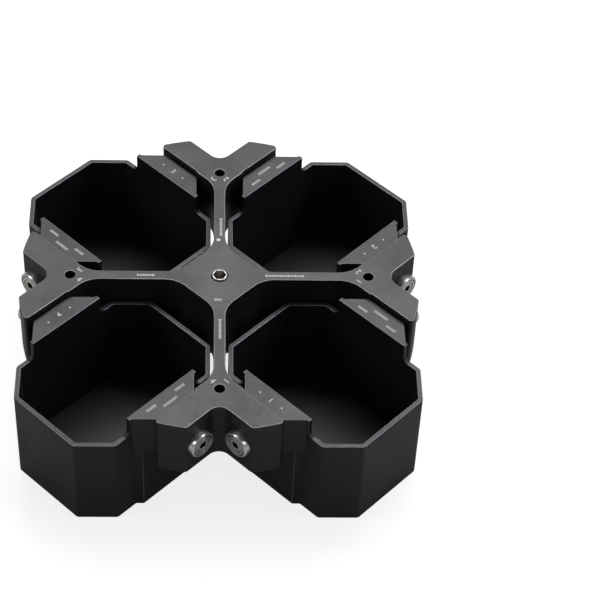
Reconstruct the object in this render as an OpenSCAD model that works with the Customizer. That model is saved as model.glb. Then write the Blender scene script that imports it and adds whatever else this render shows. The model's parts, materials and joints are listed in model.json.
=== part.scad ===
// Four-place swing-out rotor: a one-piece cross whose arms end in forks, four
// deep octagonal buckets that hang on trunnions between the forks and swing
// outwards as the rotor spins, and the hub that seats on a centrifuge shaft.
// Millimetres. The origin is the centre of the hub's underside, +Z is up.

/* [Rotor cross] */
// Radius of the turned rim that the fork tips end on
rotor_r = 134.5; // [131:0.5:150]
// Height of the cross from underside to top face
cross_h = 44.7; // [40:0.1:52]
// Thickness of each arm between hub and fork
arm_w = 7.6; // [6:0.1:9]
// Diameter of the through hole at the root of each fork
arm_hole_d = 7.2; // [4:0.1:9]
// Radius of the circle that the four arm holes lie on
arm_hole_r = 100; // [97:0.5:104]
// Width across one bucket window, between the facing fork roots
window_w = 119.4; // [114:0.2:121]
// Depth of the recess in each fork face round the trunnion
fork_recess = 0.8; // [0.4:0.1:1.6]
// Distance from the trunnion axis inwards to the edge of that recess
recess_lead = 15.3; // [12.5:0.1:17]
// Thickness of each fork prong between recess and notch
prong_t = 18.7; // [17:0.1:19.5]
// Fillet radius at the bottom of the notch between two prongs
notch_fillet = 8.5; // [4:0.1:9]
// Rounding radius of the fork tips
tip_round = 2.4; // [1:0.1:3]
// Fillet radius between arm and fork
arm_fillet = 21; // [10:0.5:26]
// Distance from the rotor axis to the flats of the hub
hub_flat = 23; // [20:0.5:27]
// Fillet radius between hub flat and arm
hub_fillet = 20; // [10:0.5:24]

/* [Trunnions] */
// Distance of the trunnion axes from the rotor axis
pivot_r = 98; // [96:0.5:99]
// Depth of the trunnion axes below the top face
pivot_drop = 22.35; // [20:0.05:24]
// Diameter of the trunnion head that the bucket hangs on
head_d = 22; // [19:0.1:23]
// Length of the trunnion head
head_l = 7.7; // [6:0.1:9]
// Rounding of the head's free edge
head_round = 2; // [0.5:0.1:3]
// Diameter of the pin shank in the prong
shank_d = 14; // [11:0.1:16]
// Length of the pin shank
shank_l = 12.4; // [9:0.1:13]
// Diameter of the collar outside the prong
collar_d = 18.8; // [17:0.1:19]
// Height of the collar above the notch face
collar_h = 4.8; // [4:0.1:5.5]
// Diameter of the small ring groove turned in the collar's face
collar_groove_d = 14.6; // [13:0.1:15.6]
// Nominal diameter of the screw that draws pin and collar together
screw_d = 6; // [4:0.5:6]
// Diameter of that screw's head
screw_head_d = 10; // [8:0.1:10.5]
// Height of that screw's head
screw_head_h = 6; // [4:0.1:6]
// Width across flats of its hexagon socket
screw_socket = 5; // [3:0.1:6]
// Length of that screw under the head
screw_l = 16; // [12:0.5:17]

/* [Buckets] */
// Outside length of a bucket along the rotor radius
bucket_w = 122.5; // [110:0.5:126]
// Height of the bucket rim above the bucket's underside
rim_h = 73.6; // [60:0.1:90]
// Wall thickness of a bucket
bucket_wall = 3.2; // [2.2:0.1:4.5]
// Floor thickness of a bucket
bucket_floor = 4; // [2.5:0.1:8]
// Rounding of the bucket's upright corners
corner_round = 3.6; // [2:0.1:5]
// Height of the hanger tabs above the rim
tab_rise = 14.6; // [13:0.1:16]
// Height of the tab top above the trunnion axis
tab_over_pivot = 17.9; // [16.5:0.1:19]
// Width of a tab where it leaves the wall
tab_root_w = 58.9; // [56.2:0.1:66]
// Fillet radius where a tab rises from the rim
tab_fillet = 4.6; // [2:0.1:8]
// Width of the hanger block's front face
block_front_w = 31.5; // [28:0.1:33]
// Height of the hanger block down from the tab top
block_h = 31.2; // [30:0.1:45]
// Width of the front face of the stiffening panel under the block
panel_front_w = 44.3; // [36:0.1:50]
// Thickness of that panel on the bucket wall
panel_t = 3.7; // [2:0.1:5]
// Diameter of the small centre mark drilled in the panel
dimple_d = 1.8; // [1:0.1:3]
// Distance of the centre mark below the trunnion axis
dimple_drop = 10.3; // [8:0.1:14]

/* [Hub and lock screw] */
// Diameter of the hub disc under the cross
hub_disc_d = 50.2; // [48.5:0.1:60]
// Thickness of the hub disc
hub_disc_h = 6.3; // [5:0.1:10]
// Diameter of the hub's spigot inside the cross
spigot_d = 30; // [26:0.1:31]
// Length of the hub's spigot above the disc
spigot_l = 30; // [28:0.5:32]
// Diameter of the bore that seats on the drive shaft
drive_bore_d = 16; // [10:0.1:20]
// Length of that bore from the underside
drive_bore_l = 20; // [14:0.5:20]
// Width of the drive slot across the underside
drive_slot_w = 4; // [2:0.1:6]
// Depth of the drive slot
drive_slot_h = 3; // [1:0.1:4]
// Nominal diameter of the hub screws
hub_screw_d = 4; // [3:0.5:4]
// Diameter of the circle of the hub screws
hub_screw_circle = 40; // [39:0.5:41]
// Length of the hub screws under the head
hub_screw_l = 14; // [8:0.5:20]
// Diameter of the lock screw's head
lock_d = 11; // [9.5:0.1:12]
// Width across flats of the lock screw's hexagon socket
lock_socket = 7.5; // [4:0.1:7.5]
// Height of the lock screw above the top face
lock_proud = 0.8; // [0:0.1:3]
// Nominal diameter of the lock screw's thread
lock_thread_d = 8; // [6:0.5:8]
// Thickness of the thrust washer under the lock screw
washer_t = 2; // [1:0.1:3]
// Thickness of the ring that keeps the lock screw captive
ring_t = 1.2; // [0.8:0.1:1.8]

/* [Clearances] */
// Radial clearance of a bucket's hanger pocket on its trunnion
pivot_clear = 0.1; // [0.05:0.01:0.1]
// Gap between trunnion head end and pocket floor
head_gap = 1.9; // [1:0.1:3]
// Gap between a hanger block and the fork root beside it
block_gap = 0.5; // [0.4:0.1:1.2]
// Gap between a bucket's slanted corner and the arm beside it
arm_gap = 2.25; // [1.8:0.05:4]
// Radial clearance of pins, spigots and threads in their holes
fit_clear = 0.02; // [0.01:0.01:0.05]
// Radial clearance of a screw in a plain hole
hole_clear = 0.4; // [0.3:0.05:0.6]

/* [Hidden] */
$fn = 96;
places = 4;
root_two = sqrt(2);
bend = tan(22.5);
overcut = 1;
seat = 0.05;
blend = 0.01;

// Heights above the hub's underside
cross_top = hub_disc_h + cross_h;
pivot_z = cross_top - pivot_drop;
bucket_top = pivot_z + tab_over_pivot;
bucket_rim = bucket_top - tab_rise;
bucket_base = bucket_rim - rim_h;

// Across a window, measured from its middle line
root_face = window_w / 2;
prong_face = root_face + fork_recess;
notch_face = prong_face + prong_t;
head_end = prong_face - head_l;
block_front = root_face - block_gap;
panel_face = head_end - head_gap;

// Along the window's middle line, measured from the rotor axis
arm_offset = arm_w / root_two;
hub_corner = hub_flat - arm_offset;
root_start = root_face + arm_offset;
recess_edge = pivot_r - recess_lead;
hub_tangent = hub_fillet * bend;
root_tangent = arm_fillet * bend;

// Along an arm, measured from the rotor axis
notch_vertex = notch_face * root_two;

// Plan of a bucket, measured from its trunnion axis
bucket_half_w = bucket_w / 2;
bucket_half_d = panel_face - panel_t;
corner_cut = bucket_half_d - (pivot_r - bucket_half_w) + arm_offset + arm_gap * root_two;
octagon_inset = 2 - root_two;
inner_round = 1.6;
block_slope = block_front - bucket_half_d;
block_fillet = 2;
pocket_r = head_d / 2 + pivot_clear;

// Stack of the trunnion screw along the trunnion axis
collar_end = notch_face + collar_h;
screw_sink = 0.2;
counterbore_floor = collar_end - screw_sink - screw_head_h;
collar_spigot_end = notch_face - (prong_t - shank_l) + screw_sink;
collar_chamfer = 0.8;
groove_w = 0.7;
groove_depth = 0.4;
socket_share = 0.5;

// Stack of the hub: the spigot, the chamber in it and the shelf below that
spigot_relief = 0.7;
spigot_top = hub_disc_h + spigot_l;
web_z = spigot_top + spigot_relief;
shelf_t = 4;
chamber_floor = drive_bore_l + shelf_t;
chamber_wall = 4.5;
chamber_r = spigot_d / 2 - chamber_wall;

// Lock screw, backed off by its play until its ring is just under the web
lock_play = 1;
lock_hole_r = lock_d / 2 + hole_clear;
ring_z = web_z - lock_play - ring_t;
shoulder_land = 0.8;
lock_shoulder = ring_z - shoulder_land;
lock_tip = drive_bore_l + lock_play;
lock_socket_h = 6;
lock_chamfer = 0.6;
ring_groove = 0.8;
ring_w = 2;
ring_r = lock_d / 2 + ring_w;
ring_gap = 3;

// Hub screws
hub_screw_r = hub_screw_circle / 2;
hub_head_r = 0.875 * hub_screw_d;
hub_socket = 0.75 * hub_screw_d;
hub_head_sink = 0.2;
hub_seat_z = hub_head_sink + hub_screw_d;
hub_screw_tip = hub_seat_z + hub_screw_l;

// Colours
cross_black = [0.17, 0.17, 0.18];
bucket_black = [0.14, 0.15, 0.17];
hub_ivory = [0.80, 0.80, 0.72];
bronze_black = [0.27, 0.26, 0.24];
stainless = [0.78, 0.78, 0.77];
spring_steel = [0.45, 0.45, 0.46];

// Turns a shape from the first diagonal to the window of bucket n. Bucket 1
// is in the window between +X and -Y, and the others follow anticlockwise.
module in_window(n) {
    rotate([0, 0, 45 + 90 * (n - 2)]) children();
}

// Places an upright shape on a trunnion axis, its +Z pointing away from the
// window's middle line. side is 1 for the left trunnion and -1 for the right.
module on_trunnion(n, side) {
    in_window(n) translate([pivot_r, 0, pivot_z]) rotate([-90 * side, 0, 0]) children();
}

// Circle of a fillet or rounding, a touch oversize so that it crosses the
// faces that it blends instead of only touching them
module fillet_circle(r) {
    circle(r + blend);
}

// One bucket window in plan, with rounded inner corners
module window_plan() {
    slope = [1, 1] / root_two;
    hub_point = [hub_flat, hub_corner];
    root_point = [root_start, root_face];
    upper = [
        [hub_flat, hub_corner - hub_tangent],
        hub_point + hub_tangent * slope,
        root_point - root_tangent * slope,
        [root_start + root_tangent, root_face],
        [recess_edge, root_face],
        [recess_edge, prong_face],
        [rotor_r + overcut, prong_face]
    ];
    lower = [for (i = [len(upper) - 1:-1:0]) [upper[i][0], -upper[i][1]]];
    polygon(concat(upper, lower));
    for (side = [-1, 1]) {
        translate([hub_flat + hub_fillet, side * (hub_corner - hub_tangent)])
            fillet_circle(hub_fillet);
        translate([root_start + root_tangent, side * (root_face - arm_fillet)])
            fillet_circle(arm_fillet);
    }
}

// The notch between the two prongs of one fork, along +X
module notch_plan() {
    leg = notch_fillet / root_two;
    reach = rotor_r + overcut;
    polygon([
        [notch_vertex + leg, leg],
        [reach, reach - notch_vertex],
        [reach, notch_vertex - reach],
        [notch_vertex + leg, -leg]
    ]);
    translate([notch_vertex + notch_fillet * root_two, 0]) fillet_circle(notch_fillet);
}

// Sliver cut away to round one corner of a prong tip. The corner lies where
// the turned rim meets a face at distance w from the window's middle line.
// side is 1 where the prong lies beyond that face and -1 where it lies before.
module tip_cut(w, side) {
    centre_w = w + side * tip_round;
    centre = [sqrt(pow(rotor_r - tip_round, 2) - pow(centre_w, 2)), centre_w];
    rim_point = centre * rotor_r / (rotor_r - tip_round);
    outward = centre / norm(centre);
    beyond = (w - rim_point[1]) / outward[0];
    difference() {
        polygon([
            centre,
            [centre[0], w],
            [centre[0], w - side * overcut],
            [rotor_r + overcut, w - side * overcut],
            rim_point - beyond * [outward[1], -outward[0]] + overcut * outward,
            rim_point + overcut * outward,
            rim_point
        ]);
        translate(centre) fillet_circle(tip_round);
    }
}

// Plan of the whole cross
module cross_plan() {
    difference() {
        circle(rotor_r, $fn = 360);
        for (quarter = [0:places - 1]) {
            rotate(90 * quarter) notch_plan();
            rotate(90 * quarter + 45) {
                window_plan();
                for (side = [-1, 1]) {
                    scale([1, side]) tip_cut(prong_face, 1);
                    scale([1, side]) tip_cut(notch_face, -1);
                }
            }
        }
    }
}

module rotor_cross() {
    color(cross_black) difference() {
        translate([0, 0, hub_disc_h]) linear_extrude(cross_h) cross_plan();
        // lock screw's hole and the seat of the hub's spigot below it
        cylinder(r = lock_hole_r, h = cross_top + overcut);
        cylinder(d = spigot_d, h = web_z);
        for (quarter = [0:places - 1]) rotate([0, 0, 90 * quarter]) {
            translate([arm_hole_r, 0, 0]) cylinder(d = arm_hole_d, h = cross_top + overcut);
            translate([hub_screw_r, 0, 0])
                cylinder(r = hub_screw_d / 2 + fit_clear, h = hub_screw_tip + overcut);
        }
        for (n = [1:places]) in_window(n) translate([pivot_r, 0, pivot_z])
            rotate([90, 0, 0]) cylinder(d = shank_d, h = 2 * (notch_face + overcut), center = true);
    }
}

module hub_disc() {
    color(hub_ivory) difference() {
        union() {
            cylinder(d = hub_disc_d, h = hub_disc_h);
            cylinder(r = spigot_d / 2 - fit_clear, h = spigot_top);
        }
        translate([0, 0, -overcut]) cylinder(d = drive_bore_d, h = drive_bore_l + overcut);
        cylinder(r = lock_thread_d / 2 + hole_clear, h = spigot_top);
        translate([0, 0, chamber_floor]) cylinder(r = chamber_r, h = spigot_l);
        rotate([0, 0, 45]) translate([-hub_disc_d / 2 - overcut, -drive_slot_w / 2, -overcut])
            cube([hub_disc_d + 2 * overcut, drive_slot_w, drive_slot_h + overcut]);
        for (quarter = [0:places - 1]) rotate([0, 0, 90 * quarter])
            translate([hub_screw_r, 0, -overcut]) {
                cylinder(r = hub_head_r + hole_clear / 2, h = hub_seat_z + overcut);
                cylinder(r = hub_screw_d / 2 + hole_clear / 2, h = hub_disc_h + 2 * overcut);
            }
    }
}

// A socket-head screw, its head standing on the XY plane and its shank below
module socket_screw(d, shank, head_r, head_h, socket) {
    difference() {
        union() {
            cylinder(r = head_r, h = head_h);
            translate([0, 0, -shank]) cylinder(d = d, h = shank + seat);
        }
        translate([0, 0, head_h * (1 - socket_share)])
            cylinder(d = socket / cos(30), h = head_h, $fn = 6);
    }
}

module hub_screws() {
    color(stainless) for (quarter = [0:places - 1]) rotate([0, 0, 90 * quarter])
        translate([hub_screw_r, 0, hub_seat_z]) mirror([0, 0, 1])
            socket_screw(hub_screw_d, hub_screw_l, hub_head_r, hub_screw_d, hub_socket);
}

module thrust_washer() {
    color(spring_steel) translate([0, 0, chamber_floor]) difference() {
        cylinder(r = chamber_r - fit_clear, h = washer_t);
        translate([0, 0, -overcut])
            cylinder(r = lock_thread_d / 2 + hole_clear, h = washer_t + 2 * overcut);
    }
}

// Captive screw, drawn backed off: its ring lies just under the cross's web
// and its tip is just above the end of the drive bore
module lock_screw() {
    head_top = cross_top + lock_proud;
    color(stainless) difference() {
        rotate_extrude() polygon([
            [0, lock_tip],
            [lock_thread_d / 2 - lock_chamfer, lock_tip],
            [lock_thread_d / 2, lock_tip + lock_chamfer],
            [lock_thread_d / 2, lock_shoulder],
            [lock_d / 2, lock_shoulder],
            [lock_d / 2, ring_z],
            [lock_d / 2 - ring_groove, ring_z],
            [lock_d / 2 - ring_groove, ring_z + ring_t],
            [lock_d / 2, ring_z + ring_t],
            [lock_d / 2, head_top - lock_chamfer],
            [lock_d / 2 - lock_chamfer, head_top],
            [0, head_top]
        ]);
        translate([0, 0, head_top - lock_socket_h])
            cylinder(d = lock_socket / cos(30), h = lock_socket_h + overcut, $fn = 6);
    }
}

module retaining_ring() {
    color(spring_steel) translate([0, 0, ring_z + seat]) difference() {
        cylinder(r = ring_r, h = ring_t - 2 * seat);
        translate([0, 0, -overcut])
            cylinder(r = lock_d / 2 - ring_groove + seat, h = ring_t + 2 * overcut);
        translate([0, -ring_gap / 2, -overcut]) cube([ring_r + overcut, ring_gap, ring_t + 2 * overcut]);
    }
}

// Headed pin: the round head carries the bucket, the shank sits in the prong
module trunnion(n, side) {
    color(bronze_black) on_trunnion(n, side) difference() {
        union() {
            rotate_extrude() {
                translate([0, head_end + head_round]) square([head_d / 2, head_l - head_round]);
                translate([0, head_end]) square([head_d / 2 - head_round, head_l]);
                translate([head_d / 2 - head_round, head_end + head_round]) circle(head_round);
            }
            translate([0, 0, prong_face - seat])
                cylinder(r = shank_d / 2 - fit_clear, h = shank_l + seat);
        }
        translate([0, 0, counterbore_floor - screw_l - overcut])
            cylinder(r = screw_d / 2 + fit_clear, h = notch_face);
    }
}

// Flanged collar against the notch face, bored for the head of its screw
module collar(n, side) {
    color(stainless) on_trunnion(n, side) difference() {
        union() {
            translate([0, 0, collar_spigot_end])
                cylinder(r = shank_d / 2 - fit_clear, h = collar_end - collar_spigot_end - collar_chamfer);
            rotate_extrude() polygon([
                [0, notch_face],
                [collar_d / 2, notch_face],
                [collar_d / 2, collar_end - collar_chamfer],
                [collar_d / 2 - collar_chamfer, collar_end],
                [0, collar_end]
            ]);
        }
        translate([0, 0, counterbore_floor]) cylinder(r = screw_head_d / 2 + hole_clear, h = prong_t);
        translate([0, 0, prong_face]) cylinder(r = screw_d / 2 + hole_clear / 2, h = prong_t);
        translate([0, 0, collar_end - groove_depth]) difference() {
            cylinder(r = (collar_groove_d + groove_w) / 2, h = overcut);
            cylinder(r = (collar_groove_d - groove_w) / 2, h = overcut);
        }
    }
}

module collar_screw(n, side) {
    color(stainless) on_trunnion(n, side) translate([0, 0, counterbore_floor])
        socket_screw(screw_d, screw_l, screw_head_d / 2, screw_head_h, screw_socket);
}

// Corners of an octagon with half sizes w and d, and cut taken off each corner
function octagon(w, d, cut) = [
    [w, d - cut], [w - cut, d], [cut - w, d], [-w, d - cut],
    [-w, cut - d], [cut - w, -d], [w - cut, -d], [w, cut - d]
];

// The same octagon with its corners rounded to radius r
module rounded_octagon(w, d, cut, r) {
    centres = octagon(w - r, d - r, cut - r * octagon_inset);
    polygon([for (i = [0:7]) for (k = [0, 1])
        centres[i] + r * [cos(45 * (i + k)), sin(45 * (i + k))]]);
    for (centre = centres) translate(centre) fillet_circle(r);
}

// Outline of a tab on the bucket wall, x along the wall and y up from the rim
module tab_outline() {
    translate([-tab_root_w / 2, -tab_fillet]) square([tab_root_w, tab_rise + tab_fillet]);
    for (side = [-1, 1]) scale([side, 1]) translate([tab_root_w / 2, 0]) difference() {
        translate([0, -tab_fillet]) square([tab_fillet, 2 * tab_fillet]);
        translate([tab_fillet, tab_fillet]) fillet_circle(tab_fillet);
    }
}

// Plan of a raised band on the bucket wall: flat front, 45 degree sides and a
// fillet into the wall. x runs along the wall and y out of its face.
module band_plan(front_w, depth, fillet) {
    foot = front_w / 2 + depth;
    run = fillet * bend;
    root = bucket_wall / 2;
    polygon([
        [-foot, 0], [-front_w / 2, depth], [front_w / 2, depth],
        [foot, 0], [foot, -root], [-foot, -root]
    ]);
    for (side = [-1, 1]) scale([side, 1]) difference() {
        polygon([
            [foot - root, -root],
            [foot + run, -root],
            [foot + run, 0],
            [foot - run / root_two, run / root_two]
        ]);
        translate([foot + run, fillet]) fillet_circle(fillet);
    }
}

module bucket(n) {
    inner_cut = corner_cut - bucket_wall * octagon_inset;
    block_base = bucket_top - block_h;
    color(bucket_black) in_window(n) translate([pivot_r, 0, 0]) difference() {
        union() {
            translate([0, 0, bucket_base]) linear_extrude(rim_h)
                rounded_octagon(bucket_half_w, bucket_half_d, corner_cut, corner_round);
            for (turn = [0, 180]) rotate([0, 0, turn]) {
                translate([0, bucket_half_d, bucket_rim]) rotate([90, 0, 0])
                    linear_extrude(bucket_wall) tab_outline();
                translate([0, bucket_half_d, block_base]) linear_extrude(block_h)
                    band_plan(block_front_w, block_slope, block_fillet);
                translate([0, bucket_half_d, bucket_base]) linear_extrude(block_base - bucket_base + overcut)
                    band_plan(panel_front_w, panel_t, block_fillet);
            }
        }
        translate([0, 0, bucket_base + bucket_floor]) linear_extrude(bucket_top - bucket_base)
            rounded_octagon(bucket_half_w - bucket_wall, bucket_half_d - bucket_wall, inner_cut, inner_round);
        for (turn = [0, 180]) rotate([0, 0, turn]) {
            // hanger pocket: an arch over the trunnion head, open at the bottom
            translate([0, block_front + overcut, pivot_z]) rotate([90, 0, 0])
                cylinder(r = pocket_r, h = block_front + overcut - panel_face);
            translate([-pocket_r, panel_face, block_base - overcut])
                cube([2 * pocket_r, block_front + overcut - panel_face, pivot_z - block_base + overcut]);
            translate([0, panel_face + overcut, pivot_z - dimple_drop]) rotate([90, 0, 0])
                cylinder(d = dimple_d, h = 2 * overcut);
        }
    }
}

rotor_cross();
hub_disc();
hub_screws();
thrust_washer();
lock_screw();
retaining_ring();
for (n = [1:places]) {
    bucket(n);
    trunnion(n, 1);
    trunnion(n, -1);
    collar(n, 1);
    collar(n, -1);
    collar_screw(n, 1);
    collar_screw(n, -1);
}
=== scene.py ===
import json
import math
import bmesh
import bpy
from mathutils import Matrix, Vector

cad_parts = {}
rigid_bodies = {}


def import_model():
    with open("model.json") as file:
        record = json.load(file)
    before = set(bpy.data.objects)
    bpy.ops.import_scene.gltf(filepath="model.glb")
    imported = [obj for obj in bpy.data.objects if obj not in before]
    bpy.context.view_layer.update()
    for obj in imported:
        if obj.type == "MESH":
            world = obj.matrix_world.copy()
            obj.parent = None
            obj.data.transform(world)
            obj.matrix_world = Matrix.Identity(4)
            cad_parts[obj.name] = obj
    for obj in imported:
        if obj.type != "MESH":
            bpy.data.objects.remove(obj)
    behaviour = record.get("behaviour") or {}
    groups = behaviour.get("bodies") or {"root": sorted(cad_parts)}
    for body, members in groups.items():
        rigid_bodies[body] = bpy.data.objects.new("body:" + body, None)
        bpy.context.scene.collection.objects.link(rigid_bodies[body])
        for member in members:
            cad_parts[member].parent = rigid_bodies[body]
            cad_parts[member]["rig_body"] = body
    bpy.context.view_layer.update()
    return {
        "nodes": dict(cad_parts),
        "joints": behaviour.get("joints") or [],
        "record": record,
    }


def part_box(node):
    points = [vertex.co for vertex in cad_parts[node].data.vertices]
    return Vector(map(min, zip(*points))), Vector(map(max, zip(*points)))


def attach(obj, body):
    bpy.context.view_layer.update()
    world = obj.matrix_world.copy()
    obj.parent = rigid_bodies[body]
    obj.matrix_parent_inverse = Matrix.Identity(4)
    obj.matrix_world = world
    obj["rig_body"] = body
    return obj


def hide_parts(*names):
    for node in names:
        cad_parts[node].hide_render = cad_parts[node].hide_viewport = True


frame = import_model()
scene = bpy.context.scene
scene.view_settings.view_transform = "Standard"


# ---- Camera, floor and studio light ----
# The rotor hangs on its drive shaft at bench height, its buckets just clear of
# a plain white table, under one big soft light behind it and two weak ones.

top_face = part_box("rotor_cross")[1].z
table_gap = 0.0002
table_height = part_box("bucket_1")[0].z - table_gap

camera_turn = math.radians(3.7701)
camera_drop = math.radians(46.7985)
camera_roll = math.radians(3.1818)
camera_place = Vector((-0.01013, -0.98604, 1.07979))
nearest_seen = 0.05
sensor_width = 36.0
picture_width = 600
focal_pixels = 2122.4


def add_camera():
    ahead = Vector((
        math.sin(camera_turn) * math.cos(camera_drop),
        math.cos(camera_turn) * math.cos(camera_drop),
        -math.sin(camera_drop),
    ))
    level = Vector((math.cos(camera_turn), -math.sin(camera_turn), 0))
    upright = level.cross(ahead)
    right = level * math.cos(camera_roll) + upright * math.sin(camera_roll)
    up = upright * math.cos(camera_roll) - level * math.sin(camera_roll)
    lens = bpy.data.cameras.new("camera")
    lens.sensor_width = sensor_width
    lens.lens = focal_pixels / picture_width * sensor_width
    lens.clip_start = nearest_seen
    camera = bpy.data.objects.new("camera", lens)
    turn = Matrix((right, up, -ahead)).transposed().to_4x4()
    camera.matrix_world = Matrix.Translation(camera_place) @ turn
    scene.collection.objects.link(camera)
    scene.camera = camera


def white_table():
    """Matt grey for the light that falls on it, topped up to white for the eye and a little in mirrors."""
    table_colour = (0.31, 0.31, 0.31, 1)
    seen_white = (0.82, 1.0)
    fade = (0.5, 2.0)
    mirrored_white = 0.07
    material = bpy.data.materials.new("white_table")
    material.use_nodes = True
    nodes, links = material.node_tree.nodes, material.node_tree.links
    nodes.clear()
    diffuse = nodes.new("ShaderNodeBsdfDiffuse")
    diffuse.inputs["Color"].default_value = table_colour
    path = nodes.new("ShaderNodeLightPath")
    place = nodes.new("ShaderNodeTexCoord")
    distance = nodes.new("ShaderNodeVectorMath")
    distance.operation = "LENGTH"
    white = nodes.new("ShaderNodeMapRange")
    white.inputs["From Min"].default_value = fade[0]
    white.inputs["From Max"].default_value = fade[1]
    white.inputs["To Min"].default_value = seen_white[0]
    white.inputs["To Max"].default_value = seen_white[1]
    seen = nodes.new("ShaderNodeMath")
    seen.operation = "MULTIPLY"
    mirrored = nodes.new("ShaderNodeMath")
    mirrored.operation = "MULTIPLY_ADD"
    mirrored.inputs[1].default_value = mirrored_white
    emission = nodes.new("ShaderNodeEmission")
    total = nodes.new("ShaderNodeAddShader")
    output = nodes.new("ShaderNodeOutputMaterial")
    links.new(place.outputs["Object"], distance.inputs[0])
    links.new(distance.outputs["Value"], white.inputs["Value"])
    links.new(path.outputs["Is Camera Ray"], seen.inputs[0])
    links.new(white.outputs["Result"], seen.inputs[1])
    links.new(path.outputs["Is Glossy Ray"], mirrored.inputs[0])
    links.new(seen.outputs[0], mirrored.inputs[2])
    links.new(mirrored.outputs[0], emission.inputs["Strength"])
    links.new(diffuse.outputs[0], total.inputs[0])
    links.new(emission.outputs[0], total.inputs[1])
    links.new(total.outputs[0], output.inputs["Surface"])
    return material


def add_floor():
    reach = 8.0
    corners = [(-reach, -reach, 0), (reach, -reach, 0), (reach, reach, 0), (-reach, reach, 0)]
    mesh = bpy.data.meshes.new("floor")
    mesh.from_pydata(corners, [], [(0, 1, 2, 3)])
    mesh.materials.append(white_table())
    floor = bpy.data.objects.new("floor", mesh)
    floor.location.z = table_height
    scene.collection.objects.link(floor)


def add_world():
    """A dim cool room for the object, and plain white for the eye."""
    room_light = 0.15
    room_colour = (0.93, 0.96, 1.0, 1)
    backdrop_colour = (1, 1, 1, 1)
    world = bpy.data.worlds.new("studio")
    scene.world = world
    world.use_nodes = True
    nodes, links = world.node_tree.nodes, world.node_tree.links
    nodes.clear()
    path = nodes.new("ShaderNodeLightPath")
    room = nodes.new("ShaderNodeBackground")
    room.inputs["Color"].default_value = room_colour
    room.inputs["Strength"].default_value = room_light
    backdrop = nodes.new("ShaderNodeBackground")
    backdrop.inputs["Color"].default_value = backdrop_colour
    mix = nodes.new("ShaderNodeMixShader")
    output = nodes.new("ShaderNodeOutputWorld")
    links.new(path.outputs["Is Camera Ray"], mix.inputs["Fac"])
    links.new(room.outputs[0], mix.inputs[1])
    links.new(backdrop.outputs[0], mix.inputs[2])
    links.new(mix.outputs[0], output.inputs["Surface"])


def add_softbox(name, place, width, height, power, colour):
    """A rectangular light at a place, aimed at the middle of the rotor."""
    light = bpy.data.lights.new(name, "AREA")
    light.shape = "RECTANGLE"
    light.size = width
    light.size_y = height
    light.energy = power
    light.color = colour
    lamp = bpy.data.objects.new(name, light)
    lamp.location = place
    lamp.rotation_euler = (-Vector(place)).to_track_quat("-Z", "Y").to_euler()
    scene.collection.objects.link(lamp)


neutral_white = (1, 1, 1)
warm_white = (1.0, 0.95, 0.90)
cool_white = (0.92, 0.96, 1.0)
fill_power = 4.5

add_camera()
add_floor()
add_world()
add_softbox("overhead_softbox", (0.32, 1.30, 2.22), 2.2, 1.9, 69, neutral_white)
add_softbox("left_fill", (-1.6, -0.32, 0.95), 0.6, 0.8, fill_power, warm_white)
add_softbox("right_fill", (1.6, -0.32, 0.95), 0.6, 0.8, fill_power, cool_white)


# ---- Rotor cross ----
# One plate of aluminium, milled all round and black anodised. Every outer edge
# is broken by a small chamfer, coloured lighter than the faces: partly anodise worn
# thin, partly a painted highlight.

weld_distance = 2e-6
flat_angle = math.radians(0.3)
edge_angle = math.radians(32)
crease_angle = math.radians(50)
sunk_depth = 0.0001
level_slack = 0.0002
cross_chamfer = 0.00035


def mark_sunk_faces(shape, middle, direction, reach):
    """Give the third finish to faces that lie below the end face and within reach of the axis."""
    end = max((vert.co - middle).dot(direction) for vert in shape.verts)
    for face in shape.faces:
        depth = end - (face.calc_center_median() - middle).dot(direction)
        spread = max((vert.co - middle).cross(direction).length for vert in face.verts)
        if depth > sunk_depth and spread < reach:
            face.material_index = 2


def outer_edges(shape, sharp_level):
    """The convex edges to break, without those that lie at the height sharp_level."""
    edges = [edge for edge in shape.edges if edge.is_convex and edge.calc_face_angle(0) > edge_angle]
    if sharp_level is None:
        return edges
    return [edge for edge in edges if any(abs(vert.co.z - sharp_level) > level_slack for vert in edge.verts)]


def finished_copy(node, name, finishes, chamfer, steps=2, sunk=None, sharp_level=None):
    """A copy of a solid's mesh with its outer edges broken. The chamfers take the second finish, and
    sunk = (middle, direction, reach) gives the third to the sockets and grooves in an end face."""
    shape = bmesh.new()
    shape.from_mesh(frame["nodes"][node].data)
    bmesh.ops.remove_doubles(shape, verts=shape.verts, dist=weld_distance)
    bmesh.ops.dissolve_limit(shape, angle_limit=flat_angle, verts=shape.verts, edges=shape.edges)
    for face in shape.faces:
        face.material_index = 0
        face.smooth = True
    if sunk:
        mark_sunk_faces(shape, *sunk)
    bmesh.ops.bevel(shape, geom=outer_edges(shape, sharp_level), offset=chamfer, offset_type="OFFSET",
                    segments=steps, profile=0.5, affect="EDGES", clamp_overlap=False, material=1)
    mesh = bpy.data.meshes.new(name)
    shape.to_mesh(mesh)
    shape.free()
    imported_normals = mesh.attributes.get("custom_normal")
    if imported_normals:
        mesh.attributes.remove(imported_normals)
    mesh.set_sharp_from_angle(angle=crease_angle)
    for finish in finishes:
        mesh.materials.append(finish)
    piece = bpy.data.objects.new(name, mesh)
    scene.collection.objects.link(piece)
    shading = piece.modifiers.new("flat_faces_stay_flat", "WEIGHTED_NORMAL")
    shading.keep_sharp = True
    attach(piece, frame["nodes"][node]["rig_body"])
    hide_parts(node)


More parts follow.
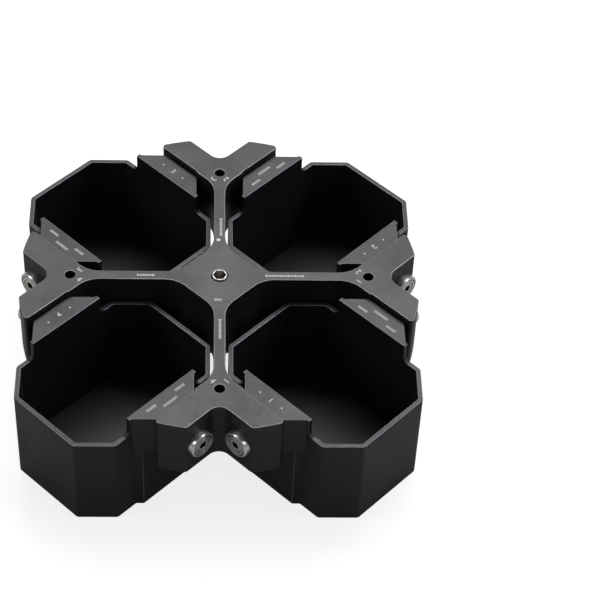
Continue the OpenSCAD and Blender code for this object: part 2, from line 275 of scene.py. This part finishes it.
def make_grain_group():
    """Fine blasted grain, cutter lines and soft clouds: a mask, a height, and a mask of thin scuffs."""
    line_stretch = (1, 1, 0.02)
    cloud_size = 28
    cloud_share = 0.4
    scuff_lean = (0.3, 0.2, 0.6)
    scuff_stretch = (1, 0.04, 1)
    scuff_cut = (0.66, 0.74)
    group = bpy.data.node_groups.new("machined_grain", "ShaderNodeTree")
    for name in ("Grain Size", "Line Size", "Line Share", "Scuff Size"):
        group.interface.new_socket(name, in_out="INPUT", socket_type="NodeSocketFloat")
    for name in ("Mask", "Height", "Scuffs"):
        group.interface.new_socket(name, in_out="OUTPUT", socket_type="NodeSocketFloat")
    nodes, links = group.nodes, group.links
    inside = nodes.new("NodeGroupInput")
    outside = nodes.new("NodeGroupOutput")
    place = nodes.new("ShaderNodeTexCoord")
    grain = nodes.new("ShaderNodeTexNoise")
    grain.inputs["Detail"].default_value = 3
    cloud = nodes.new("ShaderNodeTexNoise")
    cloud.inputs["Scale"].default_value = cloud_size
    cloud.inputs["Detail"].default_value = 4
    stretch = nodes.new("ShaderNodeMapping")
    stretch.inputs["Scale"].default_value = line_stretch
    lines = nodes.new("ShaderNodeTexNoise")
    lines.inputs["Detail"].default_value = 2
    mixed = nodes.new("ShaderNodeMix")
    mixed.data_type = "FLOAT"
    clouded = nodes.new("ShaderNodeMix")
    clouded.data_type = "FLOAT"
    clouded.inputs["Factor"].default_value = cloud_share
    slant = nodes.new("ShaderNodeMapping")
    slant.inputs["Rotation"].default_value = scuff_lean
    slant.inputs["Scale"].default_value = scuff_stretch
    scratch = nodes.new("ShaderNodeTexNoise")
    scratch.inputs["Detail"].default_value = 6
    scratch.inputs["Roughness"].default_value = 0.7
    thin = nodes.new("ShaderNodeMapRange")
    thin.inputs["From Min"].default_value = scuff_cut[0]
    thin.inputs["From Max"].default_value = scuff_cut[1]
    links.new(place.outputs["Object"], grain.inputs["Vector"])
    links.new(inside.outputs["Grain Size"], grain.inputs["Scale"])
    links.new(place.outputs["Object"], cloud.inputs["Vector"])
    links.new(place.outputs["Object"], stretch.inputs["Vector"])
    links.new(stretch.outputs[0], lines.inputs["Vector"])
    links.new(inside.outputs["Line Size"], lines.inputs["Scale"])
    links.new(inside.outputs["Line Share"], mixed.inputs["Factor"])
    links.new(grain.outputs["Fac"], mixed.inputs["A"])
    links.new(lines.outputs["Fac"], mixed.inputs["B"])
    links.new(mixed.outputs["Result"], clouded.inputs["A"])
    links.new(cloud.outputs["Fac"], clouded.inputs["B"])
    links.new(place.outputs["Object"], slant.inputs["Vector"])
    links.new(slant.outputs[0], scratch.inputs["Vector"])
    links.new(inside.outputs["Scuff Size"], scratch.inputs["Scale"])
    links.new(scratch.outputs["Fac"], thin.inputs["Value"])
    links.new(clouded.outputs["Result"], outside.inputs["Mask"])
    links.new(mixed.outputs["Result"], outside.inputs["Height"])
    links.new(thin.outputs["Result"], outside.inputs["Scuffs"])
    return group


machined_grain = make_grain_group()
grain_range = (0.38, 0.62)
relief_depth = 0.00005


def machined_finish(name, dark, light, rough=(0.35, 0.5), metallic=0.0, specular=0.5, bump=0.1, scuffed=None,
                    grain_size=2600.0, line_size=420.0, line_share=0.3, scuff_size=60.0):
    """A machined finish: colour and roughness vary between two values with the grain, and thin
    scuffs in a third colour cross it."""
    material = bpy.data.materials.new(name)
    material.use_nodes = True
    nodes, links = material.node_tree.nodes, material.node_tree.links
    surface = nodes["Principled BSDF"]
    surface.inputs["Metallic"].default_value = metallic
    surface.inputs["Specular IOR Level"].default_value = specular
    grain = nodes.new("ShaderNodeGroup")
    grain.node_tree = machined_grain
    grain.inputs["Grain Size"].default_value = grain_size
    grain.inputs["Line Size"].default_value = line_size
    grain.inputs["Line Share"].default_value = line_share
    grain.inputs["Scuff Size"].default_value = scuff_size
    ramp = nodes.new("ShaderNodeValToRGB")
    ramp.color_ramp.elements[0].position = grain_range[0]
    ramp.color_ramp.elements[0].color = (*dark, 1)
    ramp.color_ramp.elements[1].position = grain_range[1]
    ramp.color_ramp.elements[1].color = (*light, 1)
    gloss = nodes.new("ShaderNodeMapRange")
    gloss.inputs["From Min"].default_value = grain_range[0]
    gloss.inputs["From Max"].default_value = grain_range[1]
    gloss.inputs["To Min"].default_value = rough[0]
    gloss.inputs["To Max"].default_value = rough[1]
    relief = nodes.new("ShaderNodeBump")
    relief.inputs["Strength"].default_value = bump
    relief.inputs["Distance"].default_value = relief_depth
    links.new(grain.outputs["Mask"], ramp.inputs["Fac"])
    if scuffed:
        wear = nodes.new("ShaderNodeMix")
        wear.data_type = "RGBA"
        wear.inputs["B"].default_value = (*scuffed, 1)
        links.new(grain.outputs["Scuffs"], wear.inputs["Factor"])
        links.new(ramp.outputs["Color"], wear.inputs["A"])
        links.new(wear.outputs["Result"], surface.inputs["Base Color"])
    else:
        links.new(ramp.outputs["Color"], surface.inputs["Base Color"])
    links.new(grain.outputs["Mask"], gloss.inputs["Value"])
    links.new(gloss.outputs["Result"], surface.inputs["Roughness"])
    links.new(grain.outputs["Height"], relief.inputs["Height"])
    links.new(relief.outputs["Normal"], surface.inputs["Normal"])
    return material


cross_face = machined_finish("cross_black_anodise", (0.0115, 0.0115, 0.0125), (0.0185, 0.0185, 0.0205),
                             rough=(0.36, 0.56), specular=0.50, bump=0.15, scuffed=(0.030, 0.031, 0.034))
# The chamfer finish is far lighter than the face: partly worn-thin anodise, partly a painted highlight.
cross_edge_wear_and_highlight = machined_finish("cross_edge_wear_and_painted_highlight", (0.09, 0.096, 0.106), (0.40, 0.42, 0.45),
                             rough=(0.30, 0.42), metallic=0.8, bump=0.1)
finished_copy("rotor_cross", "cross_plate", [cross_face, cross_edge_wear_and_highlight], cross_chamfer)


# ---- Position numbers and index ticks ----
# White marks lasered into the anodise of the top face: the number of each
# bucket place beside the arm holes, and plain rows of ticks along the arms.

mark_thickness = 0.00002
mark_weld = 1e-7
arm_hole_radius = frame["record"]["mounts"][2]["dims"]["pcd_mm"] / 2000
digit_inset = 0.0062
digit_aside = 0.0046
digit_height = 0.0045
capital_share = 0.72
tick_pitch = 0.0010
tick_width = 0.00055
long_tick_every = 5
short_tick_share = 0.7
arm_tick_length = 0.0022
arm_tick_rows = (
    ((0.0311, 0), (0.0563, 0)),
    ((-0.0550, 0), (-0.0430, 0)),
    ((0.0009, 0.0540), (0.0009, 0.0380)),
    ((0.0002, -0.0400), (0.0002, -0.0570)),
)
arm_dot_place = (-0.0008, 0.0337)
arm_dot_radius = 0.0014
hub_tick_length = 0.0026
hub_tick_row = ((-0.0030, -0.0222), (0.0020, -0.0222))
dot_sides = 24
places = (1, 2, 3, 4)


def window_angle(place):
    """Direction of bucket place 1 to 4 seen from the rotor axis."""
    return math.radians(45 + 90 * (place - 2))


def digit_mesh(digit, height):
    """A plain digit, its middle at the origin, as a thin plate."""
    curve = bpy.data.curves.new("digit", "FONT")
    curve.body = str(digit)
    curve.size = height / capital_share
    curve.extrude = mark_thickness / 2
    curve.align_x = "CENTER"
    curve.align_y = "CENTER"
    holder = bpy.data.objects.new("digit", curve)
    scene.collection.objects.link(holder)
    bpy.context.view_layer.update()
    mesh = bpy.data.meshes.new_from_object(holder.evaluated_get(bpy.context.evaluated_depsgraph_get()))
    bpy.data.objects.remove(holder)
    return mesh


def add_digit(shape, digit, height, middle, turn):
    mesh = digit_mesh(digit, height)
    mesh.transform(Matrix.Translation(middle) @ Matrix.Rotation(turn, 4, "Z"))
    shape.from_mesh(mesh)
    bpy.data.meshes.remove(mesh)


def add_tick(shape, middle, turn, width, length):
    """A thin bar: width along its own X, length along its own Y."""
    size = Matrix.Diagonal((width, length, mark_thickness, 1))
    place = Matrix.Translation(middle) @ Matrix.Rotation(turn, 4, "Z")
    bmesh.ops.create_cube(shape, size=1, matrix=place @ size)


def add_dot(shape, middle, radius):
    bmesh.ops.create_cone(shape, cap_ends=True, segments=dot_sides, radius1=radius, radius2=radius,
                          depth=mark_thickness, matrix=Matrix.Translation(middle))


def add_tick_row(shape, start, end, height, length):
    """Ticks across the line from start to end, every fifth a little longer."""
    run = Vector(end) - Vector(start)
    along = run.normalized()
    turn = math.atan2(along.y, along.x)
    for index in range(int(run.length / tick_pitch) + 1):
        middle = Vector(start) + along * tick_pitch * index
        reach = length if index % long_tick_every == 0 else length * short_tick_share
        add_tick(shape, (middle.x, middle.y, height), turn, tick_width, reach)


def marks_piece(shape, name, body, finish):
    bmesh.ops.remove_doubles(shape, verts=shape.verts, dist=mark_weld)
    mesh = bpy.data.meshes.new(name)
    shape.to_mesh(mesh)
    shape.free()
    mesh.materials.append(finish)
    piece = bpy.data.objects.new(name, mesh)
    scene.collection.objects.link(piece)
    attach(piece, body)


def add_place_numbers(shape, place, height):
    """The number of a bucket place, once on each of the two arms beside it."""
    out = window_angle(place)
    for lean in (-1, 1):
        arm = out + lean * math.radians(45)
        along = Vector((math.cos(arm), math.sin(arm)))
        aside = Vector((math.sin(arm), -math.cos(arm))) * lean
        middle = along * (arm_hole_radius - digit_inset) + aside * digit_aside
        add_digit(shape, place, digit_height, (middle.x, middle.y, height), out + math.radians(90))


def add_cross_marks():
    shape = bmesh.new()
    height = top_face + mark_thickness / 2
    for place in places:
        add_place_numbers(shape, place, height)
    for start, end in arm_tick_rows:
        add_tick_row(shape, start, end, height, arm_tick_length)
    add_dot(shape, (*arm_dot_place, height), arm_dot_radius)
    add_tick_row(shape, *hub_tick_row, height, hub_tick_length)
    marks_piece(shape, "cross_marks", "rotor", white_mark)


white_mark = machined_finish("lasered_white", (0.55, 0.56, 0.56), (0.72, 0.73, 0.73),
                             rough=(0.6, 0.8), bump=0.2, grain_size=4200.0, line_share=0.1)
add_cross_marks()


# ---- Hub ----
# The ivory disc under the cross and its spigot, turned in one piece, and the
# four socket-head screws that hold it from below.

hub_chamfer = 0.0004
hub_screw_chamfer = 0.0002
hub_ivory = machined_finish("hub_ivory_coat", (0.60, 0.60, 0.48), (0.70, 0.70, 0.57),
                            rough=(0.35, 0.5), bump=0.1, scuffed=(0.50, 0.50, 0.42),
                            grain_size=1800.0, line_share=0.1)
hub_edge = machined_finish("hub_ivory_edge", (0.66, 0.66, 0.55), (0.74, 0.74, 0.63), rough=(0.3, 0.4))
stainless = machined_finish("turned_stainless", (0.80, 0.785, 0.76), (0.92, 0.91, 0.89),
                            rough=(0.16, 0.30), metallic=0.88, bump=0.05, scuffed=(0.42, 0.40, 0.38),
                            line_size=900.0, line_share=0.6)
stainless_edge = machined_finish("stainless_edge", (0.84, 0.835, 0.82), (0.92, 0.915, 0.90),
                                 rough=(0.22, 0.34), metallic=1.0, bump=0.05)
finished_copy("hub_disc", "hub", [hub_ivory, hub_edge], hub_chamfer)
finished_copy("hub_screws", "hub_screw_set", [stainless, stainless_edge], hub_screw_chamfer)


# ---- Lock screw ----
# The captive hexagon-socket screw in the middle, and the ring that keeps it
# captive and the washer that it bears on, both of oiled spring steel.

lock_chamfer = 0.00025
lock_socket_reach = 0.0045
washer_chamfer = 0.0002
ring_chamfer = 0.0001
spring_steel = machined_finish("oiled_spring_steel", (0.16, 0.16, 0.17), (0.24, 0.24, 0.25),
                               rough=(0.25, 0.4), metallic=1.0, line_size=700.0, line_share=0.5)
spring_edge = machined_finish("spring_steel_edge", (0.24, 0.24, 0.25), (0.34, 0.34, 0.35),
                              rough=(0.2, 0.3), metallic=1.0)
# Near-black for the collar grooves and screw sockets: painted shade in the recesses.
recess_painted_shade = machined_finish("socket_and_groove_painted_shade", (0.020, 0.018, 0.016), (0.045, 0.042, 0.038),
                               rough=(0.35, 0.55), metallic=0.6, bump=0.1)
socket_steel = machined_finish("worn_socket_steel", (0.30, 0.28, 0.25), (0.46, 0.43, 0.39),
                               rough=(0.25, 0.4), metallic=0.9, bump=0.1)
lock_steel = machined_finish("lock_screw_steel", (0.24, 0.235, 0.225), (0.34, 0.335, 0.32),
                             rough=(0.30, 0.45), metallic=1.0, bump=0.08, scuffed=(0.34, 0.33, 0.31),
                             line_size=900.0, line_share=0.6)
finished_copy("lock_screw", "lock_bolt", [lock_steel, lock_steel, socket_steel],
              lock_chamfer, steps=3, sunk=(Vector((0, 0, 0)), Vector((0, 0, 1)), lock_socket_reach))
finished_copy("thrust_washer", "thrust_ring", [spring_steel, spring_edge], washer_chamfer)
finished_copy("retaining_ring", "captive_ring", [spring_steel, spring_edge], ring_chamfer)


# ---- Trunnions, collars and their screws ----
# Each prong holds a turned pin with a bronze-black head for the bucket, a
# polished collar on its notch side, and a socket screw that pulls the two
# together.

pin_chamfer = 0.0003
collar_chamfer = 0.00015
groove_reach = 0.0083
screw_chamfer = 0.0003
screw_socket_reach = 0.0033


def swing_axis(place):
    """A point on the swing axis of a bucket, and the axis direction towards its left trunnion."""
    joint = next(joint for joint in frame["joints"] if joint["name"] == f"bucket_{place}_swing")
    out = window_angle(place)
    return Vector(joint["pos_m"]), Vector((-math.sin(out), math.cos(out), 0))


bronze_black = machined_finish("bronze_black_coat", (0.045, 0.040, 0.032), (0.065, 0.058, 0.048),
                               rough=(0.35, 0.48), specular=0.5, bump=0.15, scuffed=(0.10, 0.09, 0.07),
                               grain_size=2000.0, line_size=700.0, line_share=0.45)
# The rim chamfer of the pin head is coloured lighter than the head: a painted highlight.
bronze_rim_highlight = machined_finish("bronze_black_rim_painted_highlight", (0.10, 0.095, 0.085), (0.16, 0.15, 0.13),
                             rough=(0.25, 0.35), metallic=0.5)
screw_steel = machined_finish("plain_steel_screw", (0.62, 0.59, 0.55), (0.76, 0.73, 0.69),
                              rough=(0.28, 0.44), metallic=0.88, bump=0.1, scuffed=(0.30, 0.28, 0.25),
                              grain_size=3400.0, line_size=600.0, line_share=0.4)
screw_rim = machined_finish("plain_steel_rim", (0.62, 0.60, 0.57), (0.74, 0.72, 0.69),
                            rough=(0.24, 0.36), metallic=1.0)
for place in places:
    pivot, left = swing_axis(place)
    for side, direction in (("left", left), ("right", -left)):
        finished_copy(f"trunnion_{place}_{side}", f"pivot_pin_{place}_{side}",
                      [bronze_black, bronze_rim_highlight], pin_chamfer)
        # The sunk faces of the collars and their screws take the painted shade in their third slot.
        finished_copy(f"collar_{place}_{side}", f"pivot_collar_{place}_{side}",
                      [stainless, stainless_edge, recess_painted_shade], collar_chamfer,
                      sunk=(pivot, direction, groove_reach))
        finished_copy(f"collar_screw_{place}_{side}", f"pivot_screw_{place}_{side}",
                      [screw_steel, screw_rim, recess_painted_shade], screw_chamfer,
                      sunk=(pivot, direction, screw_socket_reach))


# ---- Buckets ----
# Deep octagonal cups milled from aluminium and blue-black anodised. They hang
# on the pins by a hanger block on two sides, and the chamfers on rims and corners
# are coloured lightest: partly wear, partly a painted highlight. White marks are
# lasered into the tabs on top of the blocks.

bucket_chamfer = 0.0004
hanger_block_height = 0.0312
block_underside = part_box("bucket_1")[1].z - hanger_block_height
tab_middle = 0.0515
tab_digit_height = 0.0042
tab_dot_runs = (-0.0095, 0.0095)
tab_dot_radius = 0.0006
tab_tick_rows = ((0, 0.0022, 13), (-0.0125, -0.0022, 9), (0.0125, -0.0022, 9))
tab_tick_pitch = 0.0009
tab_tick_width = 0.0004
tab_tick_length = 0.0020
bucket_face = machined_finish("bucket_black_anodise", (0.0090, 0.0100, 0.0122), (0.0150, 0.0163, 0.0195),
                              rough=(0.36, 0.56), specular=0.46, bump=0.15, scuffed=(0.028, 0.030, 0.035))
# The chamfer finish is far lighter than the face: partly wear, partly a painted highlight.
bucket_edge_wear_and_highlight = machined_finish("bucket_edge_wear_and_painted_highlight", (0.04, 0.044, 0.051), (0.23, 0.245, 0.275),
                              rough=(0.32, 0.44), metallic=0.8, bump=0.1)


def add_bucket_marks(place):
    """The bucket's number between two dots on one tab, and rows of ticks on the other."""
    out = window_angle(place)
    pivot, left = swing_axis(place)
    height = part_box(f"bucket_{place}")[1].z + mark_thickness / 2
    along = Vector((math.cos(out), math.sin(out), 0))
    shape = bmesh.new()

    def spot(side, run, aside):
        point = pivot + left * (side * (tab_middle + aside)) + along * run
        return (point.x, point.y, height)

    add_digit(shape, place, tab_digit_height, spot(-1, 0, 0), out + math.radians(180))
    for run in tab_dot_runs:
        add_dot(shape, spot(-1, run, 0), tab_dot_radius)
    for run, aside, count in tab_tick_rows:
        for index in range(count):
            step = (index - (count - 1) / 2) * tab_tick_pitch
            add_tick(shape, spot(1, run + step, aside), out, tab_tick_width, tab_tick_length)
    marks_piece(shape, f"cup_marks_{place}", f"bucket_{place}", white_mark)


for place in places:
    finished_copy(f"bucket_{place}", f"cup_{place}", [bucket_face, bucket_edge_wear_and_highlight],
                  bucket_chamfer, sharp_level=block_underside)
for place in places:
    add_bucket_marks(place)
